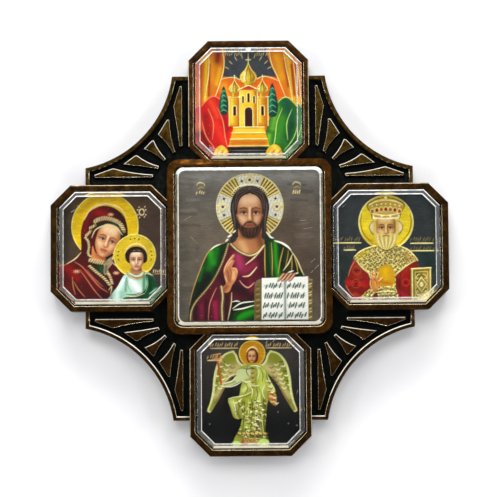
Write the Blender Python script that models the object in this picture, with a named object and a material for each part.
"""Small cross-shaped icon: a moulded frame with five foil pictures under clear covers.

It lies on its back: Z is out of its face, Y is the pictures' up and X is to the viewer's right.
The origin is the middle of the back.
"""

from math import atan2, cos, hypot, pi, sin, sqrt

import bmesh
import bpy

MM = 0.001

# Driving dimensions in millimetres
SIDE_MIDDLE = 31.1           # from the frame's middle to the middle of a side medallion
END_MIDDLE = 32.5            # from the frame's middle to the middle of the top or bottom medallion
MEDALLION_WIDTH = 27.5
MEDALLION_HEIGHT = 28.7
MEDALLION_CORNER = 4.6       # what each corner cut takes off a side
MEDALLION_RIM = 1.4
SIDE_POCKET = 30.8           # from the frame's middle to the middle of a side medallion's pocket
TOP_POCKET = 32.5            # the same for the top medallion
BOTTOM_POCKET = 32.25        # and for the bottom one, which has its widest rim at the foot
CENTRE_RAISE = 0.2           # how far the middle picture's frame lies above the frame's middle
CENTRE_WIDTH = 37.3
CENTRE_HEIGHT = 39.6
CENTRE_RADIUS = 2.9
RADIUS_LOSS = 0.55           # what the corner radius loses for each millimetre further in
CENTRE_RIM = 1.8
CORNER_ARC_RADIUS = 24.7     # the hollow arc between two arms
LEDGE_END_X = 17.3           # where the arc meets the ledge beside the top or bottom medallion
LEDGE_TOP_Y = 38.8
LEDGE_SIDE_X = 36.95         # the ledge beside a side medallion
LEDGE_END_Y = 18.1
BORDER_WIDTH = 0.97
FLOOR_Z = 3.4                # the sunk ground of the corner panels
BORDER_Z = 4.6
RAY_Z = 4.45
MEDALLION_Z = 5.3
CENTRE_Z = 5.9
RIM_DRAFT = 0.12             # how far a rim's sides lean in over its height
RIM_EDGE = 0.2               # small flat along each upper edge of a rim
BORDER_EDGE = 0.2
RAY_EDGE = 0.14
BACK_EDGE = 0.35
CARD_THICKNESS = 0.6
CARD_RELIEF = 0.14
MEDALLION_POCKET_Z = 2.0
CENTRE_POCKET_Z = 2.2
MEDALLION_COVER_RISE = 0.9   # how far a cover stands above its rim
CENTRE_COVER_RISE = 0.9
MEDALLION_SLOPE = 1.1        # width of the sloped edge of a medallion cover
MEDALLION_SLOPE_DROP = 0.9
CENTRE_SLOPE = 0.6
CENTRE_SLOPE_DROP = 0.7
FIT_GAP = 0.3                # between a pocket and what lies in it
SINK = 0.4                   # how deep a raised form runs into what carries it
CUT_OVER = 1.0               # how far a cutter runs past the face that it opens
FLARE_OVER = 0.05            # how far the widening of a pocket's mouth runs past that face

# One corner panel's rays, for the top right corner. Each is its outline: x, y, sag to the next point.
# A positive sag hollows that side towards the ray's middle line.
RAYS = (
    ((15.05, 36.5, 0), (15.6, 36.6, 0), (17.05, 31.95, 0.10), (15.75, 23.0, 0), (15.05, 23.0, 0)),
    ((17.95, 29.0, 0), (18.5, 28.95, 0), (20.55, 25.65, 0.28), (17.2, 21.4, 0), (16.65, 21.7, 0.25)),
    ((21.5, 24.3, 0), (22.0, 24.2, 0), (23.75, 22.4, 0.30), (19.2, 19.6, 0), (18.75, 20.1, 0.25)),
    ((25.3, 20.95, 0), (25.8, 20.85, 0), (28.4, 18.95, 0.10), (20.6, 17.85, 0), (20.3, 18.45, 0.30)),
    ((30.6, 18.0, 0), (31.0, 17.95, 0), (34.95, 16.55, 0), (34.8, 15.95, 0), (21.7, 15.95, 0),
     (21.7, 16.55, 0.25)),
)

PARTS = "religious_icon"
HELPERS = "cutters"
ARC_STEPS = 22
SIDE_STEPS = 4
ROUND_STEPS = 28
SMOOTH_STEPS = 3
SHARP_ANGLE = 0.5


def clear_scene():
    """Remove what the file holds, so that the model starts empty."""
    for old in list(bpy.data.objects):
        bpy.data.objects.remove(old, do_unlink=True)
    for name in (PARTS, HELPERS):
        if name in bpy.data.collections:
            bpy.data.collections.remove(bpy.data.collections[name])
        bpy.context.scene.collection.children.link(bpy.data.collections.new(name))


def finish(name, colour, roughness, metallic, alpha=1.0):
    """One Principled material."""
    material = bpy.data.materials.new(name)
    material.use_nodes = True
    shader = material.node_tree.nodes["Principled BSDF"]
    shader.inputs["Base Color"].default_value = (*colour, 1.0)
    shader.inputs["Roughness"].default_value = roughness
    shader.inputs["Metallic"].default_value = metallic
    shader.inputs["Alpha"].default_value = alpha
    material.diffuse_color = (*colour, alpha)
    return material


def arc(x, y, radius, start, end, steps):
    """Points along an arc, both ends included; the angles are in radians."""
    turns = [start + (end - start) * i / steps for i in range(steps + 1)]
    return [(x + radius * cos(turn), y + radius * sin(turn)) for turn in turns]


def cut_corner_box(width, height, corner):
    """Outline of a rectangle with its four corners cut off straight."""
    x, y = width / 2, height / 2
    quarter = [(x, y - corner), (x - corner, y)]
    left = [(-px, py) for px, py in reversed(quarter)]
    lower = [(-px, -py) for px, py in quarter + left]
    return quarter + left + lower


def round_box(width, height, radius, steps=6):
    """Outline of a rectangle with rounded corners."""
    x, y = width / 2 - radius, height / 2 - radius
    corners = ((x, y, 0), (-x, y, 1), (-x, -y, 2), (x, -y, 3))
    points = []
    for cx, cy, turn in corners:
        points += arc(cx, cy, radius, turn * pi / 2, (turn + 1) * pi / 2, steps)
    return points


def inset_corner(corner, inset):
    """The corner cut of an octagon drawn a given distance inside another, its bands all as wide."""
    return corner - inset * (2 - 2 ** 0.5)


def bowed(points, steps):
    """An outline whose sides may be hollow: each point is x, y and the sag of the side after it."""
    outline = []
    for i, (x0, y0, sag) in enumerate(points):
        x1, y1 = points[(i + 1) % len(points)][:2]
        length = ((x1 - x0) ** 2 + (y1 - y0) ** 2) ** 0.5
        inward = ((y1 - y0) / length, -(x1 - x0) / length)
        count = steps if sag else 1
        for step in range(count):
            t = step / count
            bow = sag * 4 * t * (1 - t)
            outline.append((x0 + (x1 - x0) * t + inward[0] * bow, y0 + (y1 - y0) * t + inward[1] * bow))
    return outline


def prism(name, outline, low, high, middle=(0, 0), shelf=HELPERS):
    """A flat outline with thickness, from the height low to the height high."""
    data = bpy.data.curves.new(name, "CURVE")
    data.dimensions = "2D"
    data.fill_mode = "BOTH"
    data.extrude = (high - low) / 2 * MM
    line = data.splines.new("POLY")
    line.points.add(len(outline) - 1)
    for point, (x, y) in zip(line.points, outline):
        point.co = (x * MM, y * MM, 0, 1)
    line.use_cyclic_u = True
    curve = bpy.data.objects.new(name + "_outline", data)
    bpy.data.collections[HELPERS].objects.link(curve)
    curve.location = (middle[0] * MM, middle[1] * MM, (low + high) / 2 * MM)
    return curve_to_solid(curve, name, shelf)


def curve_to_solid(curve, name, shelf):
    """Make a filled curve a closed mesh with its caps welded, where the curve was."""
    bpy.context.view_layer.update()
    seen = curve.evaluated_get(bpy.context.evaluated_depsgraph_get())
    mesh = bpy.data.meshes.new_from_object(seen)
    body = bmesh.new()
    body.from_mesh(mesh)
    bmesh.ops.remove_doubles(body, verts=body.verts, dist=0.005 * MM)
    bmesh.ops.recalc_face_normals(body, faces=body.faces)
    body.to_mesh(mesh)
    body.free()
    mesh.name = name
    solid = bpy.data.objects.new(name, mesh)
    solid.matrix_world = curve.matrix_world
    bpy.data.collections[shelf].objects.link(solid)
    bpy.data.objects.remove(curve, do_unlink=True)
    if shelf == HELPERS:
        hide(solid)
    return solid


def hide(helper):
    """Mark an object as a cutter or a part of a union, which isn't shown."""
    helper.hide_render = True
    helper.display_type = "WIRE"


def edit(solid, change):
    """Run one bmesh change on a solid's mesh."""
    body = bmesh.new()
    body.from_mesh(solid.data)
    change(body)
    body.to_mesh(solid.data)
    body.free()


def merge_flats(solid):
    """Join the fill's triangles into one face for each flat side."""
    def change(body):
        bmesh.ops.dissolve_limit(body, angle_limit=0.01, verts=body.verts, edges=body.edges)
    edit(solid, change)


def redraw(solid, height, old, new):
    """Move the ring of points at one height from one outline to another with as many points."""
    def change(body):
        level = height * MM - solid.location.z
        for vert in body.verts:
            if abs(vert.co.z - level) > 0.01 * MM:
                continue
            near = min(range(len(old)), key=lambda i: hypot(old[i][0] * MM - vert.co.x,
                                                            old[i][1] * MM - vert.co.y))
            vert.co.x, vert.co.y = new[near][0] * MM, new[near][1] * MM
    edit(solid, change)


def flared_cutter(name, outline, inset, low, rim, edge, middle=(0, 0)):
    """A cutter for a pocket whose mouth widens at 45 degrees up to the rim, and is upright above it."""
    cutter = prism(name, outline(inset), low, rim - edge, middle)
    merge_flats(cutter)
    lengthen(cutter, rim - edge, edge + FLARE_OVER)
    redraw(cutter, rim + FLARE_OVER, outline(inset), outline(inset - edge - FLARE_OVER))
    lengthen(cutter, rim + FLARE_OVER, CUT_OVER)
    return cutter


def lengthen(solid, height, reach):
    """Carry a solid on upwards from its upper face, which lies at the given height."""
    def change(body):
        level = height * MM - solid.location.z
        upper = [face for face in body.faces
                 if all(abs(vert.co.z - level) < 0.01 * MM for vert in face.verts)]
        grown = bmesh.ops.extrude_face_region(body, geom=upper)["geom"]
        bmesh.ops.delete(body, geom=upper, context="FACES_ONLY")
        corners = [part for part in grown if isinstance(part, bmesh.types.BMVert)]
        bmesh.ops.translate(body, verts=corners, vec=(0, 0, reach * MM))
    edit(solid, change)


def soften(solid, height, width):
    """Take a small flat off the edges that lie at one height."""
    def change(body):
        level = height * MM - solid.location.z
        rim = [edge for edge in body.edges
               if all(abs(vert.co.z - level) < 0.01 * MM for vert in edge.verts)
               and len(edge.link_faces) == 2
               and edge.calc_face_angle(0) > 0.5]
        bmesh.ops.bevel(body, geom=rim, offset=width * MM, segments=1, affect="EDGES",
                        profile=0.5, clamp_overlap=True)
    edit(solid, change)


def join(target, pieces, operation="UNION"):
    """Add helpers to a solid, or cut it with them, by one exact Boolean each."""
    for piece in pieces:
        cut = target.modifiers.new(piece.name, "BOOLEAN")
        cut.operation = operation
        cut.solver = "EXACT"
        cut.object = piece


def paint(solid, material):
    """Give a solid its one material, with its round stretches shaded smooth."""
    solid.data.shade_smooth()
    solid.data.set_sharp_from_angle(angle=SHARP_ANGLE)
    solid.data.materials.clear()
    solid.data.materials.append(material)


def arc_middle():
    """Middle of the top right hollow arc, from its two ends and its radius."""
    middle_x = (LEDGE_SIDE_X + LEDGE_END_X) / 2
    middle_y = (LEDGE_END_Y + LEDGE_TOP_Y) / 2
    along_x = LEDGE_END_X - LEDGE_SIDE_X
    along_y = LEDGE_TOP_Y - LEDGE_END_Y
    chord = hypot(along_x, along_y)
    reach = sqrt(CORNER_ARC_RADIUS ** 2 - (chord / 2) ** 2)
    return middle_x + along_y / chord * reach, middle_y - along_x / chord * reach


def web_outline(inset):
    """Outline of the four corner panels together, drawn a distance inside their outer edge."""
    x0, y0 = arc_middle()
    radius = CORNER_ARC_RADIUS + inset
    side_x = LEDGE_SIDE_X - inset
    top_y = LEDGE_TOP_Y - inset
    start = atan2(-sqrt(radius ** 2 - (x0 - side_x) ** 2), side_x - x0)
    end = atan2(top_y - y0, -sqrt(radius ** 2 - (y0 - top_y) ** 2))
    if end > 0:
        end -= 2 * pi
    quarter = arc(x0, y0, radius, start, end, ARC_STEPS)
    left = [(-x, y) for x, y in reversed(quarter)]
    lower = [(-x, -y) for x, y in quarter + left]
    return quarter + left + lower


def medallion_outline(inset):
    """Outline of a medallion, drawn a distance inside its outer edge."""
    return cut_corner_box(MEDALLION_WIDTH - 2 * inset, MEDALLION_HEIGHT - 2 * inset,
                          inset_corner(MEDALLION_CORNER, inset))


def centre_outline(inset):
    """Outline of the middle frame, drawn a distance inside its outer edge."""
    return round_box(CENTRE_WIDTH - 2 * inset, CENTRE_HEIGHT - 2 * inset,
                     CENTRE_RADIUS - inset * RADIUS_LOSS)


# The five places: name, middles of the rim and of its pocket, outline, rim width and top,
# pocket ground, cover rise and slope
def places():
    """Where each picture lies and the sizes of what holds it."""
    medallion = (medallion_outline, MEDALLION_RIM, MEDALLION_Z, MEDALLION_POCKET_Z,
                 MEDALLION_COVER_RISE, MEDALLION_SLOPE, MEDALLION_SLOPE_DROP)
    centre = (centre_outline, CENTRE_RIM, CENTRE_Z, CENTRE_POCKET_Z,
              CENTRE_COVER_RISE, CENTRE_SLOPE, CENTRE_SLOPE_DROP)
    return {
        "top": ((0, END_MIDDLE), (0, TOP_POCKET), *medallion),
        "left": ((-SIDE_MIDDLE, 0), (-SIDE_POCKET, 0), *medallion),
        "right": ((SIDE_MIDDLE, 0), (SIDE_POCKET, 0), *medallion),
        "bottom": ((0, -END_MIDDLE), (0, -BOTTOM_POCKET), *medallion),
        "centre": ((0, CENTRE_RAISE), (0, CENTRE_RAISE), *centre),
    }


def ray_prisms():
    """The five raised rays of each corner panel, as one helper."""
    rays = []
    for side in (1, -1):
        for end in (1, -1):
            for number, points in enumerate(RAYS):
                outline = [(side * x, end * y) for x, y in bowed(points, SIDE_STEPS)]
                ray = prism(f"ray_{side}_{end}_{number}", outline, FLOOR_Z - SINK, RAY_Z)
                merge_flats(ray)
                soften(ray, RAY_Z, RAY_EDGE)
                rays.append(ray)
    return rays


def build_frame():
    """One moulding: corner panels, border, rays, and the five rims with their pockets."""
    frame = prism("moulded_frame", web_outline(0), 0, BORDER_Z, shelf=PARTS)
    merge_flats(frame)
    soften(frame, BORDER_Z, BORDER_EDGE)
    soften(frame, 0, BACK_EDGE)
    recess = flared_cutter("panel_recess", web_outline, BORDER_WIDTH, FLOOR_Z, BORDER_Z, BORDER_EDGE)
    join(frame, [recess], "DIFFERENCE")
    blocks, pockets = [], []
    for name, (middle, pocket, outline, rim, top, ground, *_cover) in places().items():
        block = prism(f"{name}_block", outline(0), 0, top, middle)
        merge_flats(block)
        redraw(block, top, outline(0), outline(RIM_DRAFT))
        soften(block, top, RIM_EDGE)
        soften(block, 0, BACK_EDGE)
        blocks.append(block)
        pockets.append(flared_cutter(f"{name}_pocket", outline, rim, ground, top, RIM_EDGE, pocket))
    join(frame, blocks + ray_prisms())
    join(frame, pockets, "DIFFERENCE")
    paint(frame, finish("antique_bronze_plated_plastic", (0.10, 0.065, 0.03), 0.4, 0.85))


def smooth(points, steps=SMOOTH_STEPS):
    """A closed outline that runs smoothly through its points."""
    outline = []
    count = len(points)
    for i in range(count):
        before, start, end, after = (points[(i + k) % count] for k in (-1, 0, 1, 2))
        for step in range(steps):
            t = step / steps
            outline.append(tuple(
                0.5 * (2 * b + (c - a) * t + (2 * a - 5 * b + 4 * c - d) * t ** 2
                       + (3 * b - 3 * c + d - a) * t ** 3)
                for a, b, c, d in zip(before, start, end, after)))
    return outline


def oval(x, y, half_width, half_height=None):
    """A round or oval outline."""
    half_height = half_height or half_width
    return [(x + half_width * px, y + half_height * py)
            for px, py in arc(0, 0, 1, 0, 2 * pi, ROUND_STEPS)[:-1]]


def both_sides(points):
    """A shape drawn on its right half from the foot up, mirrored to the left."""
    return points + [(-x, y) for x, y in reversed(points) if x]


# The raised forms of each picture: share of the full relief, outline. In millimetres from its card's middle.
def raised_forms():
    """Outlines of the embossed figures, highest last."""
    return {
        "centre": (
            (0.4, oval(0.1, 8.9, 7.8)),
            (0.7, [(-13.3, -16.6), *smooth_run(((-13.3, -16.6), (-12.6, -11.0), (-11.2, -6.0), (-9.2, -2.2),
                                                 (-6.0, 0.5), (-2.4, 2.4))),
                   *smooth_run(((2.6, 2.8), (7.0, 1.4), (9.8, -1.8), (12.2, -5.4), (13.3, -9.0), (13.3, -16.6)))]),
            (1.0, oval(0.2, 8.2, 4.2, 5.8)),
            (1.0, [(2.4, -6.9), (14.0, -7.1), (13.7, -16.6), (2.2, -16.6)]),
        ),
        "top": (
            (0.4, oval(0, 6.0, 4.6)),
            (0.7, both_sides([(9.6, -9.6), (9.6, -1.6), (7.2, 1.2), (4.8, -1.4)])),
            (1.0, both_sides([(4.6, -9.8), (4.6, 0.6), (3.4, 1.2), (3.4, 3.0), (3.7, 4.6), (2.6, 6.4),
                              (0.5, 7.8), (0, 8.8)])),
        ),
        "left": (
            (0.4, oval(-1.5, 4.7, 7.5)),
            (0.7, smooth(((-9.9, -10.6), (-9.4, -6.2), (-6.0, -2.6), (-4.9, 1.6), (-4.9, 5.6), (-1.6, 9.6),
                          (2.6, 7.8), (4.9, 3.4), (4.6, -3.0), (5.0, -10.6)))),
            (0.8, oval(5.4, -1.6, 4.9)),
            (1.0, smooth(((1.6, -10.8), (2.2, -7.4), (4.2, -5.0), (3.3, -2.0), (4.6, 0.8), (6.4, 0.6),
                          (7.3, -2.2), (6.8, -5.0), (9.2, -7.0), (9.8, -10.8)))),
        ),
        "right": (
            (0.4, oval(-0.5, 5.6, 6.1)),
            (0.7, smooth(((-9.0, -11.0), (-8.6, -6.0), (-6.0, -2.6), (-2.6, -0.6), (1.8, -0.6), (5.2, -2.6),
                          (8.0, -6.0), (8.8, -11.0)))),
            (1.0, smooth(((-3.2, 2.6), (-3.7, 8.4), (-2.2, 10.8), (1.2, 10.8), (2.8, 8.4), (2.3, 2.6),
                          (1.2, -0.4), (-2.0, -0.4)))),
            (1.0, [(5.2, -4.8), (9.7, -4.6), (9.7, -10.6), (5.2, -10.8)]),
        ),
        "bottom": (
            (0.4, oval(0.3, 8.5, 2.9)),
            (0.7, smooth(((-1.4, 4.6), (-5.0, 8.2), (-7.4, 6.0), (-8.4, 0.0), (-9.8, -6.0), (-6.0, -2.0),
                          (-2.4, 1.4)))),
            (0.7, smooth(((1.8, 4.6), (5.4, 8.0), (7.8, 6.0), (8.8, 0.0), (10.0, -6.0), (6.2, -2.0),
                          (2.8, 1.4)))),
            (1.0, smooth(((-3.2, -11.2), (-3.6, -6.0), (-4.6, -1.4), (-3.4, 3.0), (-1.2, 5.8), (-0.9, 8.4),
                          (0.3, 9.8), (1.5, 8.4), (1.8, 5.8), (4.0, 2.8), (4.6, -1.8), (3.8, -6.0),
                          (3.6, -11.2)))),
        ),
    }


def smooth_run(points, steps=SMOOTH_STEPS):
    """An open run of points drawn smoothly, both ends included."""
    closed = smooth(points, steps)
    return closed[:(len(points) - 1) * steps] + [points[-1]]


def build_pictures():
    """The embossed foil cards that lie in the pockets."""
    forms = raised_forms()
    foil = finish("embossed_foil_card", (0.33, 0.30, 0.27), 0.35, 0.6)
    for name, (_middle, pocket, outline, rim, _top, ground, *_cover) in places().items():
        low = ground + FIT_GAP
        high = low + CARD_THICKNESS
        card = prism(f"picture_{name}", outline(rim + FIT_GAP), low, high, pocket, PARTS)
        merge_flats(card)
        raised = []
        for number, (share, line) in enumerate(forms[name]):
            form = prism(f"{name}_form_{number}", line, high - CARD_THICKNESS / 2,
                         high + CARD_RELIEF * share, pocket)
            merge_flats(form)
            raised.append(form)
        join(card, raised)
        paint(card, foil)


def build_covers():
    """The clear covers, each a plate with a sloped upper edge."""
    clear = finish("clear_polystyrene", (0.95, 0.96, 0.96), 0.05, 0.0, 0.25)
    for name, (_middle, pocket, outline, rim, top, ground, rise, slope, drop) in places().items():
        low = ground + FIT_GAP + CARD_THICKNESS + CARD_RELIEF + FIT_GAP
        high = top + rise
        cover = prism(f"clear_cover_{name}", outline(rim + FIT_GAP), low, high - drop, pocket, PARTS)
        merge_flats(cover)
        raise_middle(cover, high - drop, slope, drop)
        paint(cover, clear)


def raise_middle(solid, height, slope, drop):
    """Draw the upper face in by the slope's width and up by its drop."""
    def change(body):
        level = height * MM - solid.location.z
        upper = [face for face in body.faces
                 if all(abs(vert.co.z - level) < 0.01 * MM for vert in face.verts)]
        bmesh.ops.inset_region(body, faces=upper, thickness=slope * MM, depth=0)
        corners = {vert for face in upper for vert in face.verts}
        bmesh.ops.translate(body, verts=list(corners), vec=(0, 0, drop * MM))
    edit(solid, change)


clear_scene()
build_frame()
build_pictures()
build_covers()
